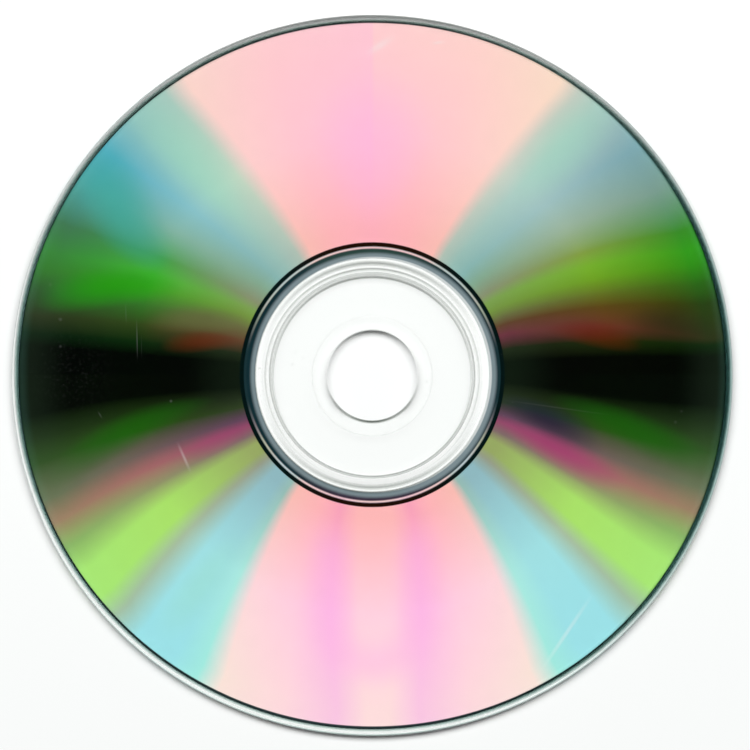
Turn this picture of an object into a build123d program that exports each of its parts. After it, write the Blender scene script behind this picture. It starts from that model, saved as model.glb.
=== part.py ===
from build123d import *
import os

# A compact disc that lies flat, with its label side down and its clear read side up.
# Millimetres, +Z up. The origin is on the axis of the centre hole, on the surface
# that the disc rests on.

# The disc as a whole
disc_diameter = 120.0
hole_diameter = 15.0
disc_thickness = 1.2  # from the label side to the flat read side, without the stacking ring

# Coatings on the label side, drawn thicker than the real ones
film_thickness = 0.02
lacquer_cover = 0.03  # lacquer under the film

# Moulded edges of the clear disc
rim_round = 0.3  # read side of the rim
hole_round = 0.15  # read side of the hole
label_edge_chamfer = 0.1  # label side of the rim and of the hole

# Fine ring that the gate punch leaves round the hole
gate_land_width = 2.3  # flat land between the hole and the ring
gate_ring_width = 0.3
gate_ring_depth = 0.03

# Stacking ring that keeps the faces of stacked discs apart
stacking_ring_inner_diameter = 34.3
stacking_ring_width = 2.2
stacking_ring_height = 0.2  # at the crown of its arched top
stacking_ring_shoulder = 0.14  # height where each flank meets the arched top
stacking_ring_flank = 0.35  # width of each sloping flank

# Groove that the mould leaves just inside the stacking ring
mould_groove_gap = 0.05  # flat between the groove and the foot of the stacking ring
mould_groove_width = 0.6
mould_groove_depth = 0.1

# How far the coatings reach
film_start_gap = 0.15  # from the foot of the stacking ring to the film
inner_seal_width = 0.3  # lacquer past the film's inner edge
outer_seal_width = 0.7  # lacquer past the film's outer edge
lacquer_edge_gap = 0.3  # bare plastic between the lacquer and the rim's chamfer

# Sizes that follow
disc_radius = disc_diameter / 2
hole_radius = hole_diameter / 2
film_top = lacquer_cover + film_thickness
substrate_thickness = disc_thickness - film_top
gate_ring_inner_radius = hole_radius + gate_land_width
gate_ring_outer_radius = gate_ring_inner_radius + gate_ring_width
ring_inner_radius = stacking_ring_inner_diameter / 2
ring_outer_radius = ring_inner_radius + stacking_ring_width
ring_middle_radius = (ring_inner_radius + ring_outer_radius) / 2
groove_outer_radius = ring_inner_radius - mould_groove_gap
groove_inner_radius = groove_outer_radius - mould_groove_width
groove_middle_radius = (groove_inner_radius + groove_outer_radius) / 2
film_inner_radius = ring_outer_radius + film_start_gap
lacquer_inner_radius = film_inner_radius - inner_seal_width
lacquer_outer_radius = disc_radius - label_edge_chamfer - lacquer_edge_gap
film_outer_radius = lacquer_outer_radius - outer_seal_width

os.makedirs("parts", exist_ok=True)

# Clear disc, moulded in one piece
with BuildPart() as substrate:
    with BuildSketch(Plane.XY.offset(film_top)):
        Circle(disc_radius)
        Circle(hole_radius, mode=Mode.SUBTRACT)
    extrude(amount=substrate_thickness)

    # Eased edges of the rim and the hole
    edge_levels = substrate.edges().filter_by(GeomType.CIRCLE).group_by(Axis.Z)
    read_side_edges = edge_levels[-1].sort_by(SortBy.RADIUS)
    fillet(read_side_edges[-1], rim_round)
    fillet(read_side_edges[0], hole_round)
    chamfer(edge_levels[0], label_edge_chamfer)

    # Gate punch's ring
    with BuildSketch(Plane.XY.offset(disc_thickness)):
        Circle(gate_ring_outer_radius)
        Circle(gate_ring_inner_radius, mode=Mode.SUBTRACT)
    extrude(amount=-gate_ring_depth, mode=Mode.SUBTRACT)

    # Mould groove, a shallow arc in section
    with BuildSketch(Plane.XZ):
        with BuildLine():
            groove_mouth = Line(
                (groove_inner_radius, disc_thickness),
                (groove_outer_radius, disc_thickness),
            )
            ThreePointArc(
                groove_mouth @ 1,
                (groove_middle_radius, disc_thickness - mould_groove_depth),
                groove_mouth @ 0,
            )
        make_face()
    revolve(axis=Axis.Z, mode=Mode.SUBTRACT)

    # Stacking ring, with two flanks and an arched top
    with BuildSketch(Plane.XZ):
        with BuildLine():
            foot = Line(
                (ring_outer_radius, disc_thickness),
                (ring_inner_radius, disc_thickness),
            )
            inner_flank = Line(
                foot @ 1,
                (ring_inner_radius + stacking_ring_flank, disc_thickness + stacking_ring_shoulder),
            )
            arched_top = ThreePointArc(
                inner_flank @ 1,
                (ring_middle_radius, disc_thickness + stacking_ring_height),
                (ring_outer_radius - stacking_ring_flank, disc_thickness + stacking_ring_shoulder),
            )
            Line(arched_top @ 1, foot @ 0)
        make_face()
    revolve(axis=Axis.Z)
substrate.part.label = "substrate"
export_step(substrate.part, "parts/substrate.step")

# Metal film that the laser reads, flat against the back of the clear disc
with BuildPart() as reflective_layer:
    with BuildSketch(Plane.XY.offset(lacquer_cover)):
        Circle(film_outer_radius)
        Circle(film_inner_radius, mode=Mode.SUBTRACT)
    extrude(amount=film_thickness)
reflective_layer.part.label = "reflective_layer"
export_step(reflective_layer.part, "parts/reflective_layer.step")

# Lacquer that covers the film and seals both of its edges against the clear disc
with BuildPart() as protective_lacquer:
    with BuildSketch():
        Circle(lacquer_outer_radius)
        Circle(lacquer_inner_radius, mode=Mode.SUBTRACT)
    extrude(amount=film_top)
    with BuildSketch(Plane.XY.offset(lacquer_cover)):
        Circle(film_outer_radius)
        Circle(film_inner_radius, mode=Mode.SUBTRACT)
    extrude(amount=film_thickness, mode=Mode.SUBTRACT)
protective_lacquer.part.label = "protective_lacquer"
export_step(protective_lacquer.part, "parts/protective_lacquer.step")
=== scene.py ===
import math

import bpy
import numpy as np
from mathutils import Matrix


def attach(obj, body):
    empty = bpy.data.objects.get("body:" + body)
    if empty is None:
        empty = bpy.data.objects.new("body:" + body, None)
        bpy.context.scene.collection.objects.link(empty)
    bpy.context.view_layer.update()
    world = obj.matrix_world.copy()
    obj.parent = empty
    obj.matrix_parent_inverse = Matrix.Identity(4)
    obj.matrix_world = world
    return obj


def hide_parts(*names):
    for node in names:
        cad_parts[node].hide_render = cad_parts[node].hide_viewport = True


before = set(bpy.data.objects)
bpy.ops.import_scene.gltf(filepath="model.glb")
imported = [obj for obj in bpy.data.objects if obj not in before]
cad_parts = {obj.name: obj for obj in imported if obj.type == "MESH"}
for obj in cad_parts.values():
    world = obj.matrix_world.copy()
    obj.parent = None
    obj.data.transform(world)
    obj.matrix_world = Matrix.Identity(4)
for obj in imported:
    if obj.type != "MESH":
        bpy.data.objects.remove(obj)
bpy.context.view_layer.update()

mm = 0.001


# Scene as the photograph has it: white ground, light from the top of the picture

camera = {
    "height": 2.0,  # a long lens, so that the disc is seen straight on all over
    "viewWidth": 0.12483,  # metres across the picture at the disc
    "centre": (0.00047, 0.00005),
}
floor = {
    "size": 3.0,
    "colour": "f9fbfa",
    "throughGlass": 0.1,  # what clear plastic takes away is added to the ground seen through it
}
sky = {
    "shown": 1.29,  # what mirrors and glass show
    "fill": 0.07,  # what lights the ground beside the lamp
    "lensEdge": (0.035, 0.06),  # dark opening straight above, where the camera looks through
    "lensLevel": 0.02,
}
lamp = {
    "reach": 1.5,
    "elevation": 58.5,
    "width": 3.2,
    "height": 0.85,
    "level": 0.975,  # share of white that it gives level ground
}


# Meshes

def easedLoop(corners, steps=7):
    # Each corner C of a closed outline becomes the arc
    # (1-t)^2 A + 2t(1-t) C + t^2 B, with A and B at its ease distance along both sides
    table = np.array(corners, float)
    points, ease = table[:, :2], table[:, 2:]
    before = np.roll(points, 1, 0) - points
    after = np.roll(points, -1, 0) - points
    start = points + before / np.linalg.norm(before, axis=1, keepdims=True) * ease
    end = points + after / np.linalg.norm(after, axis=1, keepdims=True) * ease
    t = np.linspace(0, 1, steps)[None, :, None]
    arcs = (1 - t) ** 2 * start[:, None] + 2 * t * (1 - t) * points[:, None] + t ** 2 * end[:, None]
    guard = 0.02  # keeps the flats flat beside their arcs
    first = arcs[:, :1] + guard * before[:, None] / np.linalg.norm(before, axis=1)[:, None, None]
    last = arcs[:, -1:] + guard * after[:, None] / np.linalg.norm(after, axis=1)[:, None, None]
    return np.concatenate([first, arcs, last], 1).reshape(-1, 2)


def turnedPiece(name, outline, sections):
    # Outline point (r, z) at turn a stands at (r cos a, r sin a, z); both parameters close on themselves
    count = len(outline)
    turn = np.linspace(0, 2 * np.pi, sections, endpoint=False)
    r, z = outline[:, 0][None, :], outline[:, 1][None, :]
    points = np.stack([r * np.cos(turn)[:, None], r * np.sin(turn)[:, None], z + 0 * turn[:, None]], -1)
    here = np.arange(sections)[:, None] * count + np.arange(count)[None, :]
    up = np.roll(here, -1, 1)
    faces = np.stack([here, np.roll(here, -1, 0), np.roll(up, -1, 0), up], -1).reshape(-1, 4)
    mesh = bpy.data.meshes.new(name)
    mesh.vertices.add(sections * count)
    mesh.vertices.foreach_set("co", (points * mm).ravel())
    mesh.loops.add(faces.size)
    mesh.loops.foreach_set("vertex_index", faces.ravel())
    mesh.polygons.add(len(faces))
    mesh.polygons.foreach_set("loop_start", np.arange(0, faces.size, 4))
    mesh.polygons.foreach_set("use_smooth", np.ones(len(faces), bool))
    mesh.update(calc_edges=True)
    mesh.validate()
    piece = bpy.data.objects.new(name, mesh)
    bpy.context.scene.collection.objects.link(piece)
    return piece


# Shader maths

class Wire:  # one output of a node; arithmetic on it adds Math nodes
    def __init__(self, tree, socket=None):
        self.tree = tree
        self.socket = socket

    def node(self, kind, settings=None, inputs=None, output=0):
        made = self.tree.nodes.new(kind)
        for setting, value in (settings or {}).items():
            setattr(made, setting, value)
        for key, value in (inputs or {}).items():
            if isinstance(value, Wire):
                self.tree.links.new(value.socket, made.inputs[key])
            else:
                made.inputs[key].default_value = value
        return Wire(self.tree, made.outputs[output] if made.outputs else None)

    def beside(self, output):  # another output of the same node
        return Wire(self.tree, self.socket.node.outputs[output])

    def math(self, operation, *values):
        return self.node("ShaderNodeMath", {"operation": operation}, dict(enumerate(values)))

    def __add__(self, other):
        return self.math("ADD", self, other)

    def __sub__(self, other):
        return self.math("SUBTRACT", self, other)

    def __rsub__(self, other):
        return self.math("SUBTRACT", other, self)

    def __mul__(self, other):
        return self.math("MULTIPLY", self, other)

    def __truediv__(self, other):
        return self.math("DIVIDE", self, other)

    def __pow__(self, other):
        return self.math("POWER", self, other)

    __radd__ = __add__
    __rmul__ = __mul__

    def ramp(self, start, end, shape="LINEAR"):  # 0 before start, 1 after end
        inputs = {"Value": self, "From Min": start, "From Max": end}
        return self.node("ShaderNodeMapRange", {"interpolation_type": shape, "clamp": True}, inputs)

    def soft(self, start, end):
        return self.ramp(start, end, "SMOOTHSTEP")

    def atLeast(self, low):
        return self.math("MAXIMUM", self, low)

    def line(self, middle, reach):  # 1 on the line, 0 from reach away
        return self.math("ABSOLUTE", self - middle).soft(reach, 0)

    def vector(self, operation, other, output=0):  # output 1 is a number, as a distance or dot product is
        return self.node("ShaderNodeVectorMath", {"operation": operation}, {0: self, 1: other}, output)

    def scaled(self, by):
        return self.node("ShaderNodeVectorMath", {"operation": "SCALE"}, {0: self, "Scale": by})

    def blend(self, factor, first, second, mode="MIX"):
        settings = {"data_type": "RGBA", "blend_type": mode}
        return self.node("ShaderNodeMix", settings, {0: factor, 6: first, 7: second}, 2)


def colour(code):  # sRGB hex as linear light
    part = np.array([int(code[i:i + 2], 16) for i in (0, 2, 4)]) / 255
    linear = np.where(part <= 0.04045, part / 12.92, ((part + 0.055) / 1.055) ** 2.4)
    return (*linear.tolist(), 1.0)


def newMaterial(name):
    material = bpy.data.materials.new(name)
    material.use_nodes = True
    material.node_tree.nodes.clear()
    return material, Wire(material.node_tree)


def finishMaterial(tree, shader):
    tree.node("ShaderNodeOutputMaterial", inputs={"Surface": shader})


def place(tree, centre=(0, 0)):  # x, y, z and distance from the centre, in millimetres
    point = tree.node("ShaderNodeTexCoord", output=3)
    parts = point.node("ShaderNodeSeparateXYZ", inputs={0: point})
    x = parts * 1000 - centre[0]
    y = parts.beside(1) * 1000 - centre[1]
    z = parts.beside(2) * 1000
    return point, x, y, z, (x * x + y * y) ** 0.5


def far(x, y, centre):
    across, up = x - centre[0], y - centre[1]
    return (across * across + up * up) ** 0.5


# Clear disc: eased edges, gate ring, mould groove and stacking ring

disc = {
    "sections": 576,
    "hole": 7.5,
    "rim": 60.0,
    "back": 0.05,
    "front": 1.2,
    "gateRing": (9.8, 10.1, 0.03),
    "groove": (16.5, 17.1, 0.1),
    "stackingRing": (17.15, 17.5, 18.25, 19.0, 19.35),
    "shoulder": 0.14,
    "crown": 0.2505,  # where the sides of the arched top would meet
}


def discOutline():
    hole, rim, back, front = disc["hole"], disc["rim"], disc["back"], disc["front"]
    gateIn, gateOut, gateDeep = disc["gateRing"]
    grooveIn, grooveOut, grooveDeep = disc["groove"]
    ringFoot, ringIn, ringMiddle, ringOut, ringEnd = disc["stackingRing"]
    shoulder, crown = front + disc["shoulder"], front + disc["crown"]
    grooveFloor = front - grooveDeep * 0.9
    # Distance from the axis, height and ease of each corner
    return easedLoop([
        (rim - 0.1, back, 0.02),
        (rim, back + 0.1, 0.03),
        (rim, front, 0.3),
        (ringEnd, front, 0.06),
        (ringOut, shoulder, 0.04),
        (ringMiddle, crown, 0.7),
        (ringIn, shoulder, 0.04),
        (ringFoot, front, 0.02),
        (grooveOut, front, 0.02),
        (grooveOut - 0.15, grooveFloor, 0.09),
        (grooveIn + 0.15, grooveFloor, 0.09),
        (grooveIn, front, 0.03),
        (gateOut, front, 0.015),
        (gateOut - 0.02, front - gateDeep, 0.015),
        (gateIn + 0.02, front - gateDeep, 0.015),
        (gateIn, front, 0.015),
        (hole, front, 0.11),
        (hole, back + 0.1, 0.03),
        (hole + 0.1, back, 0.02),
    ])


clearDisc = turnedPiece("clearDisc", discOutline(), disc["sections"])
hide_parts("substrate")
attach(clearDisc, "root")
print("clear disc made")


# Metal film and the lacquer under it

film = {
    "sections": 720,
    "inner": 19.5,
    "outer": 58.9,
    "back": 0.03,
    "front": 0.052,  # a hair inside the clear disc, as the real film is bonded to it
}
lacquer = {
    "sections": 720,
    "inner": 19.2,
    "outer": 59.6,
    "front": 0.049,
}

filmOutline = easedLoop([
    (film["inner"], film["back"], 0.004),
    (film["outer"], film["back"], 0.004),
    (film["outer"], film["front"], 0.004),
    (film["inner"], film["front"], 0.004),
], 4)
dataFilm = turnedPiece("dataFilm", filmOutline, film["sections"])
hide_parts("reflective_layer")
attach(dataFilm, "root")

lacquerOutline = easedLoop([
    (lacquer["inner"], 0, 0.01),
    (lacquer["outer"], 0, 0.01),
    (lacquer["outer"], lacquer["front"], 0.008),
    (film["outer"], lacquer["front"], 0.004),
    (film["outer"], film["back"] - 0.001, 0.004),
    (film["inner"], film["back"] - 0.001, 0.004),
    (film["inner"], lacquer["front"], 0.004),
    (lacquer["inner"], lacquer["front"], 0.008),
], 4)
lacquerCoat = turnedPiece("lacquerCoat", lacquerOutline, lacquer["sections"])
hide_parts("protective_lacquer")
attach(lacquerCoat, "root")
print("film and lacquer made")


# Colours of the film: fans of light that the tracks split. They all come from one small palette,
# whose kinds of colour change in their own way from the hub to the rim. Colours, places and tints
# were set with colour readings of the photograph beside the hub, half way and at the rim as the guide

# The film's colours are painted light: the fans that the tracks split from the lamp's light, and glows
# over them
palette = {
    "dark": {
        "black": "020402", "night": "1c2414", "shade": "2c3a1e", "wine": "6c3040", "brown": "60402c",
        "olive": "686840", "green": "749440", "moss": "7ca050", "ash": "889070",
    },
    "purple": {"plum": "604058", "crimson": "904868", "rose": "806868"},
    "lime": {"lime": "98a864"},
    "cool": {"lilac": "969c88", "mint": "84a890", "steel": "88b4b0", "azure": "90b8c0"},
    "bright": {"sage": "98bcb4", "pearl": "b0c0b4"},
    "pink": {
        "peach": "f8bcb4", "pink": "fcb4b8", "blush": "fcb8b8", "magenta": "f8a4bc", "orchid": "fcb0bc",
    },
    "glow": {
        "leaf": "209c04", "teal": "30a89c", "violet": "fcb4e4", "ember": "6c1c04", "indigo": "1c1038",
        "forest": "146404", "aqua": "9cdcc0", "cherry": "a43070",
    },
}
kinds = {name: kind for kind, codes in palette.items() for name in codes}
shades = {name: colour(code) for codes in palette.values() for name, code in codes.items()}
# Bands of a fan, from the level line up or down: colour, and its place in degrees beside the hub
# and at the rim
fans = {
    "upperRight": [
        ("black", 5.5, 3), ("night", 10.8, 5), ("wine", 17, 6), ("brown", 21, 12), ("olive", 24, 15.5),
        ("green", 28, 19), ("moss", 32, 21.5), ("ash", 35.5, 25), ("mint", 42, 33), ("steel", 48, 41),
        ("sage", 54, 50), ("pearl", 59.5, 54), ("peach", 63.6, 57.4), ("pink", 76, 72),
        ("orchid", 90, 90),
    ],
    "upperLeft": [
        ("black", 5, 5), ("night", 9, 7), ("brown", 14.5, 10), ("olive", 20, 14), ("green", 25, 18),
        ("moss", 28, 21), ("ash", 32, 26), ("mint", 39, 33), ("steel", 45, 40), ("sage", 50.5, 47),
        ("pearl", 58, 53.5), ("peach", 63.2, 57.6), ("pink", 74, 72), ("orchid", 90, 90),
    ],
    "lower": [
        ("black", 4.5, 6), ("night", 9, 10), ("shade", 13, 14), ("plum", 18, 20), ("crimson", 21.3, 24),
        ("rose", 25.5, 28.5), ("lime", 29.5, 33.2), ("lime", 34, 38.3), ("lilac", 37.5, 42.2),
        ("azure", 43, 47), ("azure", 48, 54), ("sage", 52.3, 58.8), ("peach", 56, 63), ("pink", 67, 74),
        ("magenta", 75.4, 83), ("blush", 83, 88), ("blush", 90, 90.5),
    ],
}
# Shares of red, green and blue that each kind of colour keeps or gains half way out, then at the rim
tints = {
    "upperRight": {
        "dark": ((0.9, 1.2, 0.35), (0.15, 0.9, 0.1)),
        "cool": ((1.4, 1.15, 1.2), (0.85, 0.85, 1)),
        "bright": ((1.35, 1.2, 1.2), (1.3, 1.1, 1.15)),
        "pink": ((1, 1.25, 1.25), (1, 1.4, 1.25)),
    },
    "upperLeft": {
        "dark": ((0.25, 1.2, 0.4), (0.2, 0.65, 0.5)),
        "cool": ((1, 1.15, 1.3), (0.35, 0.9, 1.2)),
        "bright": ((1.2, 1.25, 1.15), (0.9, 1.05, 1.1)),
        "pink": ((1, 1.2, 1.3), (1, 1.3, 1.3)),
    },
    "lower": {
        "dark": ((1, 1.8, 0.7), (1.2, 1.8, 1.3)),
        "purple": ((1.3, 2.1, 1), (1.2, 3.3, 0.95)),
        "lime": ((1.25, 1.85, 1.1), (1.25, 2, 1.35)),
        "cool": ((1.25, 1.5, 1.4), (1.2, 1.55, 1.5)),
        "bright": ((1.25, 1.55, 1.55), (1.15, 1.6, 1.6)),
        "pink": ((1, 1.3, 1.5), (1, 1.5, 1.5)),
    },
}
# Softer glows laid over a quarter's bands: colour, degrees and radius of the middle, half the width in
# degrees, half the length in millimetres, lean in degrees per millimetre and strength
glows = {
    "upperRight": [
        ("brown", 15.5, 30, 4, 8, -0.45, 0.4),
        ("ember", 10.5, 37.5, 4, 8, -0.5, 0.5),
        ("night", 9.5, 50, 4.5, 8, -0.3, 0.5),
        ("aqua", 50.5, 50, 7, 14, 0, 0.4),
        ("violet", 90, 38, 16, 14, 0, 0.4),
    ],
    "upperLeft": [
        ("ember", 11, 29, 4, 7, -0.45, 0.5),
        ("olive", 18, 30, 5, 9, -0.5, 0.6),
        ("leaf", 18.5, 46, 5, 12, -0.5, 0.7),
        ("teal", 33.5, 50, 8, 12, 0.4, 0.6),
        ("aqua", 50.5, 48, 7, 16, 0, 0.4),
        ("violet", 90, 38, 16, 14, 0, 0.4),
    ],
    "lowerRight": [
        ("indigo", 15, 30, 6, 11, 0.25, 0.7),
        ("cherry", 22.7, 34, 5, 13, 0.12, 0.65),
        ("forest", 12.3, 45, 4.5, 16, 0.3, 0.6),
    ],
    "lowerLeft": [
        ("forest", 13, 42, 4.5, 16, 0.3, 0.6),
        ("cherry", 23, 28, 4.5, 8, 0.12, 0.35),
        ("aqua", 50, 45, 5, 12, 0, 0.3),
    ],
}
arch = {  # violet round the lower pinks
    "half": 7,
    "reach": 5.5,
    "start": (24, 32),
    "end": 41,
    "strength": 0.4,
}
# Rings beside the stacking ring, as painted reflection and shade of the mirror-smooth metal: slate where
# the metal thins out at its edge, then navy and black where the mirror shows dark, and a fine line of
# split light; top, bottom and sides differ as the light falls. With the radii between which one gives way
# to the next
filmRings = {
    "slateStart": (19.5, 19.74),
    "slateStartOffCentre": (0.18, -0.01),
    "slateEnd": (20.0, 20.7),
    "slateEndOffCentre": (0.12, -0.10),
    "slateWiderAtSides": 0.12,
    "blackStart": (21.32, 21.46),
    "fineLine": (21.17, 0.29),  # its middle and its reach
    "dataStart": (21.98, 22.13),
    "offCentre": (-0.11, -0.01),  # of the last three
    "toSide": (78, 46),  # degrees from the level line over which top and bottom give way to the sides
    "lineToSide": (40, 10),
    "firstEdge": "d0d6d6",
    "slate": "7d8d92",
    "navyTop": "2c443e",
    "navyBottom": "3a3040",
    "navySides": "122c32",
    "black": "1c0c04",
    "blackSides": "021413",
    "line": "e6e2e2",
    "lineSides": "1c3438",
}
filmFinish = {
    "offCentre": (0.12, 0.11),  # the data aren't quite centred, as on the real disc
    "hubRadius": 24.0,
    "rimRadius": 56.0,
    "dataEnd": (58.48, 58.64),
    "dataWiderAtSides": 0.36,
    "lowerLean": 0.9,  # degrees that the lower fan is turned anticlockwise
    "leanFades": (48, 34),  # below these degrees it isn't turned half way out
    "middleGlow": 0.035,
    # painted haze of light near the hub and the rim: the radii over which it comes in, and its light
    "paintedHazeLight": [
        ((32, 22), (0.004, 0.009, 0.004)),
        ((50, 58), (0.006, 0.011, 0.006)),
        ((57.1, 58.7), (0.014, 0.034, 0.024)),
    ],
    "grain": 420.0,
    "grainDetail": 1.0,
    "roughness": 0.34,
    "marks": "f2f4f2",
    # painted dark reflection of the bare mirror metal outside the tracks
    "outerEdge": "2c3a3c",
    "backSide": "c9cbcd",
}


# Wear on the read side, in millimetres from the centre of the disc
wear = {
    # scratches: x and y of the middle, half length, half width, direction in degrees, strength
    "scratches": [
        (-39.15, 6.0, 4.0, 0.12, 91, 0.08),
        (-38.4, 4.8, 2.6, 0.10, 91, 0.02),
        (-41.0, 10.3, 2.2, 0.14, 92, 0.03),
        (32.3, -43.0, 9.5, 0.50, 56, 0.30),
        (-31.3, -13.7, 3.2, 0.35, 114, 0.22),
        (-45.3, -6.6, 0.9, 0.18, 122, 0.05),
        (31.0, -5.4, 11.0, 0.20, -8, 0.02),
        (1.3, 54.9, 3.6, 1.00, 33, 0.30),
        (11.0, 55.4, 1.6, 0.45, 8, 0.25),
    ],
    # specks: x and y, radius, strength
    "specks": [
        (-51.9, 9.3, 0.42, 0.04), (-51.9, 4.8, 0.38, 0.03), (-53.6, 15.1, 0.45, 0.02),
        (-33.5, -4.3, 0.32, 0.09), (50.5, -7.8, 0.40, 0.03), (51.5, -6.0, 0.35, 0.02),
    ],
    "dust": {
        "middle": (-50.0, 0.5, 0),
        "reach": 10.0,
        "grain": 1.9,
        "detail": 1.5,
        "patches": (0.5, 0.76),
        "strength": 0.008,
    },
    "shimmer": 0.035,  # uneven glow of the tracks
}


def speck(flat, middle, radius):
    return flat.vector("DISTANCE", middle, 1).soft(radius, 0)


def marksShare(flat, half):  # scratches and specks of the upper (1) or lower (-1) half
    shares = []
    for middleX, middleY, long, wide, turn, strength in wear["scratches"]:
        if middleY * half < 0:
            continue
        cos, sin = math.cos(math.radians(turn)), math.sin(math.radians(turn))
        share = strength
        for way, reach in (((cos, sin, 0), long), ((-sin, cos, 0), wide)):
            shift = middleX * way[0] + middleY * way[1]
            share = flat.vector("DOT_PRODUCT", way, 1).line(shift, reach) * share
        shares.append(share)
    for middleX, middleY, radius, strength in wear["specks"]:
        if middleY * half > 0:
            shares.append(speck(flat, (middleX, middleY, 0), radius) * strength)
    return sum(shares[1:], shares[0])


def dustShare(flat):
    dust = wear["dust"]
    inputs = {"Vector": flat, "Scale": dust["grain"], "Detail": dust["detail"]}
    grains = flat.node("ShaderNodeTexNoise", inputs=inputs).soft(*dust["patches"])
    return grains * speck(flat, dust["middle"], dust["reach"]) * dust["strength"]


def fanColour(fan, degrees, along):
    inner, outer = along.ramp(0, 0.5), along.ramp(0.5, 1)
    tint = {}
    for kind, (halfWay, atRim) in tints[fan].items():
        change = inner.blend(inner, (1, 1, 1, 1), (*halfWay, 1))
        tint[kind] = outer.blend(outer, change, (*atRim, 1))
    found, last = None, None
    for name, hubAngle, rimAngle in fans[fan]:
        angle = along * (rimAngle - hubAngle) + hubAngle
        bandColour = tint[kinds[name]].vector("MULTIPLY", shades[name][:3])
        if found is None:
            found = bandColour
        else:
            found = found.blend(degrees.ramp(last, angle), found, bandColour)
        last = angle
    return found


def layGlows(found, quarter, degrees, r):
    for name, middle, radius, wide, long, lean, strength in quarter:
        across = (degrees - middle - (r - radius) * lean) / wide
        lengthways = (r - radius) / long
        near = (1 - across * across - lengthways * lengthways).atLeast(0) ** 1.5
        found = found.blend(near * strength, found, shades[name])
    return found


# Painted reflection and shade on the metal beside the stacking ring
def paintedRingReflections(x, y, r, degrees, upward):  # slate, then black mirror, beside the stacking ring
    shade = {part: colour(code) for part, code in filmRings.items() if isinstance(code, str)}
    toSide = degrees.soft(*filmRings["toSide"])
    slateStart = far(x, y, filmRings["slateStartOffCentre"])
    slateEnd = far(x, y, filmRings["slateEndOffCentre"]) - toSide * filmRings["slateWiderAtSides"]
    navy = upward.blend(upward, shade["navyBottom"], shade["navyTop"])
    navy = navy.blend(toSide, navy, shade["navySides"])
    slate = r.blend(slateStart.soft(*filmRings["slateStart"]), shade["firstEdge"], shade["slate"])
    slate = slate.blend(slateEnd.soft(*filmRings["slateEnd"]), slate, navy)
    paintedMirrorDark = r.blend(toSide, shade["black"], shade["blackSides"])
    return slate.blend(r.soft(*filmRings["blackStart"]), slate, paintedMirrorDark)


def filmMaterial():
    material, tree = newMaterial("iridescentFilm")
    centreX, centreY = filmFinish["offCentre"]
    point, x, y, z, r = place(tree, filmFinish["offCentre"])
    degrees = x.math("ARCTAN2", x.math("ABSOLUTE", y), x.math("ABSOLUTE", x)) * (180 / math.pi)
    along = r.ramp(filmFinish["hubRadius"], filmFinish["rimRadius"])
    swell = along * (1 - along) * 4  # 1 half way out
    glow = swell * filmFinish["middleGlow"] + 1
    rightSide, upperSide = x.math("GREATER_THAN", x, 0), x.math("GREATER_THAN", y, 0)
    upward = (y / r).ramp(-1, 1)
    lineR = far(x, y, filmRings["offCentre"])
    rings = paintedRingReflections(x, y, lineR, degrees, upward)
    lineFades = degrees.soft(*filmRings["lineToSide"])
    fineLine, dataStarts = lineR.line(*filmRings["fineLine"]), lineR.soft(*filmRings["dataStart"])
    dataEnds = (r - x * x / (r * r) * filmFinish["dataWiderAtSides"]).soft(*filmFinish["dataEnd"])
    paintedHazeLight = (0, 0, 0, 1)
    for radii, light in filmFinish["paintedHazeLight"]:
        paintedHazeLight = r.blend(r.soft(*radii), paintedHazeLight, (*light, 1))
    onFace = z.math("GREATER_THAN", z, (film["back"] + film["front"]) / 2)
    inputs = {"Vector": point, "Scale": filmFinish["grain"], "Detail": filmFinish["grainDetail"]}
    uneven = (point.node("ShaderNodeTexNoise", inputs=inputs) - 0.5) * wear["shimmer"] + 1
    flat = x.node("ShaderNodeCombineXYZ", inputs={0: x + centreX, 1: y + centreY})
    dust = dustShare(flat)

    # From the colour of the tracks to the finished metal; its back is plain silver
    def coated(tracks, marks):
        data = tracks.blend(1.0, tracks, paintedHazeLight, "ADD").scaled(uneven)
        data = data.blend(marks, data, colour(filmFinish["marks"]))
        pale = data.blend(0.5, data, colour(filmRings["line"]))
        pale = pale.blend(lineFades, pale, colour(filmRings["lineSides"]))
        face = data.blend(dataStarts, rings.blend(fineLine, rings, pale), data)
        face = face.blend(dataEnds, face, colour(filmFinish["outerEdge"]))
        return tree.node("ShaderNodeBsdfPrincipled", inputs={
            "Base Color": face.blend(onFace, colour(filmFinish["backSide"]), face),
            "Metallic": 1.0,
            "Roughness": filmFinish["roughness"],
        })

    def sides(factor, first, second):
        return tree.node("ShaderNodeMixShader", inputs={0: factor, 1: first, 2: second})

    # Each quarter is a shader of its own, so that a renderer works out only the one it needs
    lean = (1 - swell * degrees.soft(*filmFinish["leanFades"])) * filmFinish["lowerLean"]
    turned = degrees + (rightSide * 2 - 1) * lean
    below = fanColour("lower", turned, along).scaled(glow)
    past = (-1 * y - arch["end"]).atLeast(0)
    fromSpine = (x * x + past * past) ** 0.5
    arched = fromSpine.line(arch["half"], arch["reach"]) * r.soft(*arch["start"]) * arch["strength"]
    lowerMarks, upperMarks = marksShare(flat, -1) + dust, marksShare(flat, 1) + dust
    quarters = {}
    for name in ("lowerLeft", "lowerRight"):
        tracks = layGlows(below, glows[name], turned, r)
        quarters[name] = coated(tracks.blend(arched, tracks, shades["violet"]), lowerMarks)
    for name in ("upperLeft", "upperRight"):
        tracks = fanColour(name, degrees, along).scaled(glow)
        quarters[name] = coated(layGlows(tracks, glows[name], degrees, r), upperMarks)
    lower = sides(rightSide, quarters["lowerLeft"], quarters["lowerRight"])
    upper = sides(rightSide, quarters["upperLeft"], quarters["upperRight"])
    finishMaterial(tree, sides(upperSide, lower, upper))
    return material


# Clear plastic and lacquer

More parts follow.
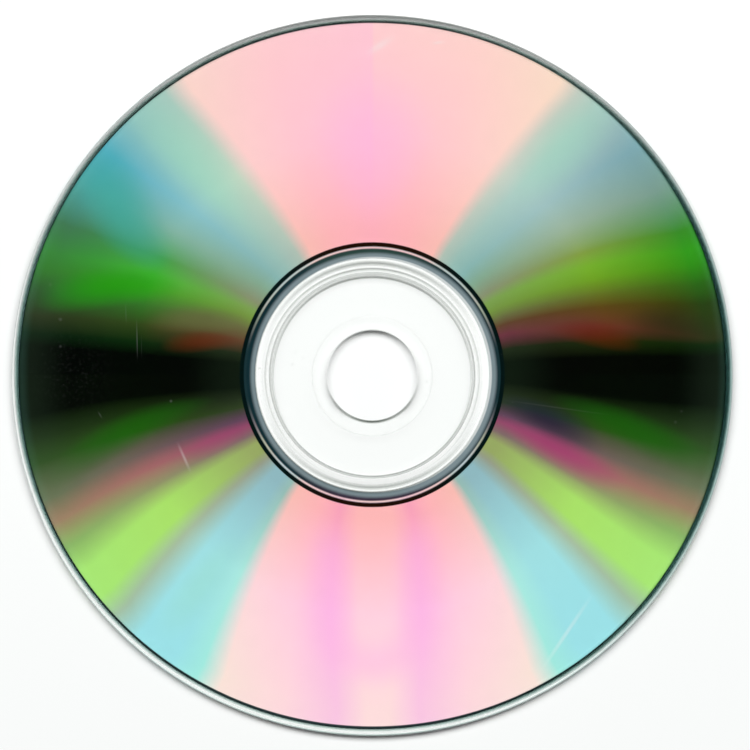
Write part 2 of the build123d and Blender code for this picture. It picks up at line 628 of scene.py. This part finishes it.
clear = {
    "flat": (0.8, 0.99),  # how upright a surface's normal is, from bending light away to letting it by
    "letsBy": (0.985, 0.99, 0.985, 1),
    "holeWall": 7.65,  # radius within which the hole's wall lets light by too, at its lower part
    "holeWallFrom": (-0.58, -0.95),  # y / r there, from none of it to all of it
}


# Shadows and soft light go straight through flat stretches; the edges bend them away
def lightPasses(tree, glass, alsoClear=0):
    normal = tree.node("ShaderNodeTexCoord", output=1)
    upright = normal.node("ShaderNodeSeparateXYZ", inputs={0: normal}, output=2)
    flat = upright.math("ABSOLUTE", upright).ramp(*clear["flat"]).atLeast(alsoClear)
    shadow = tree.node("ShaderNodeLightPath", output=1)
    passes = shadow.math("MAXIMUM", shadow, shadow.beside(2)) * flat
    straight = tree.node("ShaderNodeBsdfTransparent", inputs={"Color": clear["letsBy"]})
    return tree.node("ShaderNodeMixShader", inputs={0: passes, 1: glass, 2: straight})


# Painted shade lines, laid over the real refraction, where the moulded shape bends the light away:
# radius, how far the line lies towards the bottom of the picture, its reach to each side, and how
# dark it is at the top, right, bottom, left
paintedShadeLines = {
    "holeLip": (7.52, 0.00, 0.22, 0.65, 0.00, 0.00, 0.00),
    "holeWall": (7.72, 0.00, 0.45, 0.00, 0.00, 0.86, 0.00),
    "gateRing": (9.98, 0.10, 0.20, 0.00, 0.08, 0.09, 0.08),
    "grooveEdge": (16.58, 0.25, 0.33, 0.62, 0.36, 0.56, 0.36),
    "grooveFoot": (17.05, 0.03, 0.20, 0.12, 0.62, 0.44, 0.52),
    "grooveShade": (17.00, 0.05, 0.85, 0.36, 0.10, 0.04, 0.14),
    "ringFoot": (17.84, 0.08, 0.30, 0.64, 0.32, 0.02, 0.34),
    "ringCrown": (18.66, -0.02, 0.56, 0.62, 0.02, 0.58, 0.06),
    "ringEnd": (19.43, 0.04, 0.36, 0.00, 0.00, 0.66, 0.36),
    "filmEdge": (58.92, -0.06, 0.30, 0.42, 0.10, 0.20, 0.05),
    "rimMiddle": (59.74, 0.00, 0.16, 0.32, 0.00, 0.00, 0.00),
    "rimWall": (59.91, 0.00, 0.28, 0.34, 0.00, 0.88, 0.00),
}
hubSpecks = [  # x and y, radius, depth
    (-13.28, 1.83, 0.42, 0.07),
    (-11.5, 2.9, 0.45, 0.03),
    (-12.75, 3.85, 0.5, 0.03),
    (-11.5, 1.13, 0.35, 0.03),
    (-8.72, -5.28, 0.34, 0.09),
    (-9.3, -5.5, 0.4, 0.04),
    (-18.7, 1.2, 0.3, 0.16),
    (9.02, -1.08, 0.42, 0.07),
    (-20.3, -1.1, 0.4, -0.25),
]
# Painted shade of the clear rim, different at the top, right, bottom and left, which fades outwards:
# where it starts, its reach, the least light that it lets by and the power that red goes by
paintedRimShade = {
    "top": (58.9, 0.54, 0.16, 1.16),
    "right": (59.24, 0.75, 0.055, 1.4),
    "bottom": (58.68, 0.68, 0.12, 1.25),
    "left": (59.12, 0.66, 0.15, 1.33),
}
# How the painted rim shade lies and comes in
paintedRimShadeLayout = {
    "offCentre": (0.08, 0),
    "askew": 0.25,  # how much further out it lies at upper left and lower right
    "comesIn": (58.7, 58.8),
    "fade": 1.3,
}
# Colouring of the painted shade
paintedShadePower = {
    "hub": 1.05,  # power that blue goes by, and red too as far as the hub
    "hubToRim": (40, 50),
}


def weigh(sides, values):
    return sum((side * value for side, value in zip(sides[1:], values[1:])), sides[0] * values[0])


# Painted shade: the rim's grey and the shade lines darken the clear plastic's colour
def paintedShadeTint(x, y, r):
    upward, rightward = y / r, x / r
    top, bottom = upward.atLeast(0) ** 2, upward.math("MINIMUM", upward, 0) ** 2
    right, left = rightward.atLeast(0) ** 2, rightward.math("MINIMUM", rightward, 0) ** 2
    sides = (top, right, bottom, left)
    start, reach, least, red = (weigh(sides, values) for values in zip(*paintedRimShade.values()))
    askew = (x * y / (r * r) * -1).atLeast(0) * paintedRimShadeLayout["askew"]
    outwards = ((far(x, y, paintedRimShadeLayout["offCentre"]) - askew - start) / reach).ramp(0, 1)
    faded = outwards ** paintedRimShadeLayout["fade"] * (1 - least) + least
    kept = 1 - r.ramp(*paintedRimShadeLayout["comesIn"]) * (1 - faded)
    for radius, down, reach, *depths in paintedShadeLines.values():
        kept = kept * (1 - far(x, y, (0, -down)).line(radius, reach) * weigh(sides, depths))
    flat = x.node("ShaderNodeCombineXYZ", inputs={0: x, 1: y})
    for middleX, middleY, radius, depth in hubSpecks:
        kept = kept * (1 - speck(flat, (middleX, middleY, 0), radius) * depth)
    red = r.ramp(*paintedShadePower["hubToRim"]) * (red - paintedShadePower["hub"]) + paintedShadePower["hub"]
    channels = {0: kept ** red, 1: kept, 2: kept ** paintedShadePower["hub"]}
    return kept.node("ShaderNodeCombineColor", inputs=channels)


def discMaterial():
    material, tree = newMaterial("clearPolycarbonate")
    _, x, y, _, r = place(tree)
    # The plastic's colour carries the painted shade
    glass = tree.node("ShaderNodeBsdfPrincipled", inputs={
        "Base Color": paintedShadeTint(x, y, r),
        "Roughness": 0.02,
        "IOR": 1.585,
        "Transmission Weight": 1.0,
    })
    holeWall = r.math("LESS_THAN", r, clear["holeWall"]) * (y / r).soft(*clear["holeWallFrom"])
    finishMaterial(tree, lightPasses(tree, glass, holeWall))
    return material


def lacquerMaterial():
    material, tree = newMaterial("clearLacquer")
    shader = tree.node("ShaderNodeBsdfPrincipled", inputs={
        "Base Color": colour("f6f8f8"),
        "Roughness": 0.08,
        "IOR": 1.5,
        "Transmission Weight": 1.0,
    })
    finishMaterial(tree, lightPasses(tree, shader))
    return material


dataFilm.data.materials.append(filmMaterial())
clearDisc.data.materials.append(discMaterial())
lacquerCoat.data.materials.append(lacquerMaterial())
print("materials made")


# Floor, sky and camera

def floorMaterial():
    material, tree = newMaterial("paleFloor")
    ground = tree.node("ShaderNodeBsdfDiffuse", inputs={"Color": colour(floor["colour"])})
    through = tree.node("ShaderNodeLightPath", output=6)  # Is Transmission Ray
    added = tree.node("ShaderNodeEmission", inputs={"Strength": through * floor["throughGlass"]})
    finishMaterial(tree, tree.node("ShaderNodeAddShader", inputs={0: ground, 1: added}))
    return material


half = floor["size"] / 2
floorMesh = bpy.data.meshes.new("floor")
floorCorners = [(-half, -half, 0), (half, -half, 0), (half, half, 0), (-half, half, 0)]
floorMesh.from_pydata(floorCorners, [], [(0, 1, 2, 3)])
floorPiece = bpy.data.objects.new("floor", floorMesh)
floorMesh.materials.append(floorMaterial())
bpy.context.scene.collection.objects.link(floorPiece)


def makeSky():
    world = bpy.data.worlds.new("studioSky")
    bpy.context.scene.world = world
    world.use_nodes = True
    world.cycles.sampling_method = "NONE"
    world.node_tree.nodes.clear()
    tree = Wire(world.node_tree)
    direction = tree.node("ShaderNodeTexCoord", output=0)
    x = tree.node("ShaderNodeSeparateXYZ", inputs={0: direction})
    y, z = x.beside(1), x.beside(2)
    fromZenith = (x * x + y * y) ** 0.5
    lens = fromZenith.soft(sky["lensEdge"][1], sky["lensEdge"][0]) * z.math("GREATER_THAN", z, 0)
    shown = sky["shown"] - lens * (sky["shown"] - sky["lensLevel"])
    cameraRay = tree.node("ShaderNodeLightPath")
    glossyRay, glassRay = cameraRay.beside(3), cameraRay.beside(6)
    mirrored = glossyRay.math("MAXIMUM", glossyRay, glassRay)
    level = mirrored * (shown - sky["fill"]) + sky["fill"]
    level = cameraRay * (1 - level) + level
    background = tree.node("ShaderNodeBackground", inputs={"Color": (1, 1, 1, 1), "Strength": level})
    tree.node("ShaderNodeOutputWorld", inputs={"Surface": background})


def makeLamp():
    rise = math.radians(lamp["elevation"])
    towards = np.array([0, math.cos(rise), math.sin(rise)])
    upright = np.array([0, -math.sin(rise), math.cos(rise)])
    # Light on level ground for each unit of the lamp's glow, summed over its face
    steps = 40
    step = (np.arange(steps) + 0.5) / steps - 0.5
    across = step[:, None, None] * lamp["width"] * np.array([1, 0, 0])
    face = lamp["reach"] * towards + across + step[None, :, None] * lamp["height"] * upright
    distance = np.linalg.norm(face, axis=-1)
    area = lamp["width"] * lamp["height"]
    gathered = (face @ towards * face[..., 2] / distance ** 4).mean() * area
    data = bpy.data.lights.new("softbox", "AREA")
    data.shape = "RECTANGLE"
    data.size, data.size_y = lamp["width"], lamp["height"]
    data.energy = lamp["level"] * math.pi ** 2 * area / gathered
    piece = bpy.data.objects.new("softbox", data)
    piece.location = lamp["reach"] * towards
    piece.rotation_euler = (rise - math.pi / 2, 0, 0)
    piece.visible_glossy = False  # mirrors and glass show the even sky instead
    piece.visible_transmission = False
    bpy.context.scene.collection.objects.link(piece)


makeSky()
makeLamp()

cameraData = bpy.data.cameras.new("camera")
cameraData.lens = cameraData.sensor_width * (camera["height"] - disc["front"] * mm) / camera["viewWidth"]
cameraPiece = bpy.data.objects.new("camera", cameraData)
cameraPiece.location = (*camera["centre"], camera["height"])
bpy.context.scene.collection.objects.link(cameraPiece)
bpy.context.scene.camera = cameraPiece
bpy.context.scene.view_settings.view_transform = "Standard"
print("floor, sky and camera set")
